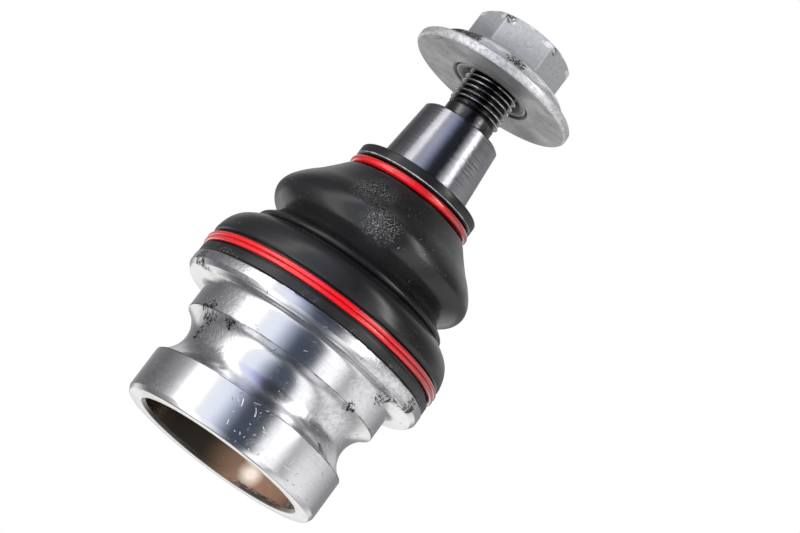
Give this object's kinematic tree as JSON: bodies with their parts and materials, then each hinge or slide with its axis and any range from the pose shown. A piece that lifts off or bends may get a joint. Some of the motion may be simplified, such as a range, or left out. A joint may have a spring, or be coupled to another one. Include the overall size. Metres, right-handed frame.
{
  "type": "suspension ball joint",
  "caption": "Ball joint with a grooved round barrel for a pinch bolt, a tapered stud that swings in it under a lobed rubber boot, and a flange nut with a captive washer.",
  "frame": {"origin": "centre of the flat end face at the housing's open mouth, on the stud's axis", "axes": "+Z along the axis from the mouth to the stud's thread; X and Y are the two swing axes"},
  "size_m": [0.0552, 0.0552, 0.1059],
  "materials": {
    "housing_zinc": "bright zinc plate on turned steel, scuffed",
    "stud_steel": "ground taper, oiled dark thread",
    "race_polymer": "off-white bearing polymer",
    "spring_steel": "tempered spring steel",
    "cover_steel": "plain turned steel",
    "clip_black": "blackened spring steel",
    "seal_rubber": "matt black rubber",
    "boot_rubber": "satin black moulded rubber",
    "ring_red": "glossy red coated spring wire",
    "nut_flake": "grey zinc flake coat with dark specks"
  },
  "bodies": {
    "housing": {"housing": "housing_zinc", "upper_race": "race_polymer", "lower_race": "race_polymer", "preload_spring": "spring_steel", "end_cover": "cover_steel", "cover_seal": "seal_rubber", "retaining_ring": "clip_black", "boot_base_ring": "ring_red"},
    "boot_mid": {"dust_boot": "boot_rubber"},
    "boot_top": {"boot_neck_ring": "ring_red"},
    "stud": {"ball_stud": "stud_steel"},
    "washer": {"nut_washer": "nut_flake"},
    "nut": {"flange_nut": "nut_flake"}
  },
  "joints": [
    {"name": "swing_fore_aft", "type": "hinge", "parent": "housing", "child": "boot_mid", "pos_m": [0, 0, 0.0252], "axis": [1, 0, 0], "range_deg": [-18, 18], "deforming": ["dust_boot"]},
    {"name": "swing_side", "type": "hinge", "parent": "boot_mid", "child": "boot_top", "pos_m": [0, 0, 0.0252], "axis": [0, 1, 0], "range_deg": [-18, 18], "deforming": ["dust_boot"]},
    {"name": "stud_spin", "type": "hinge", "parent": "boot_top", "child": "stud", "pos_m": [0, 0, 0.0252], "axis": [0, 0, 1], "continuous": true},
    {"name": "nut_travel", "type": "slide", "parent": "stud", "child": "washer", "axis": [0, 0, 1], "range_m": [-0.005, 0.0075]},
    {"name": "nut_turn", "type": "hinge", "parent": "washer", "child": "nut", "pos_m": [0, 0, 0.0925], "axis": [0, 0, 1], "range_deg": [-1441, 2161]}
  ],
  "couplings": [
    {"joint": "nut_turn", "follows": "nut_travel", "rad_per_m": 5026.5}
  ]
}
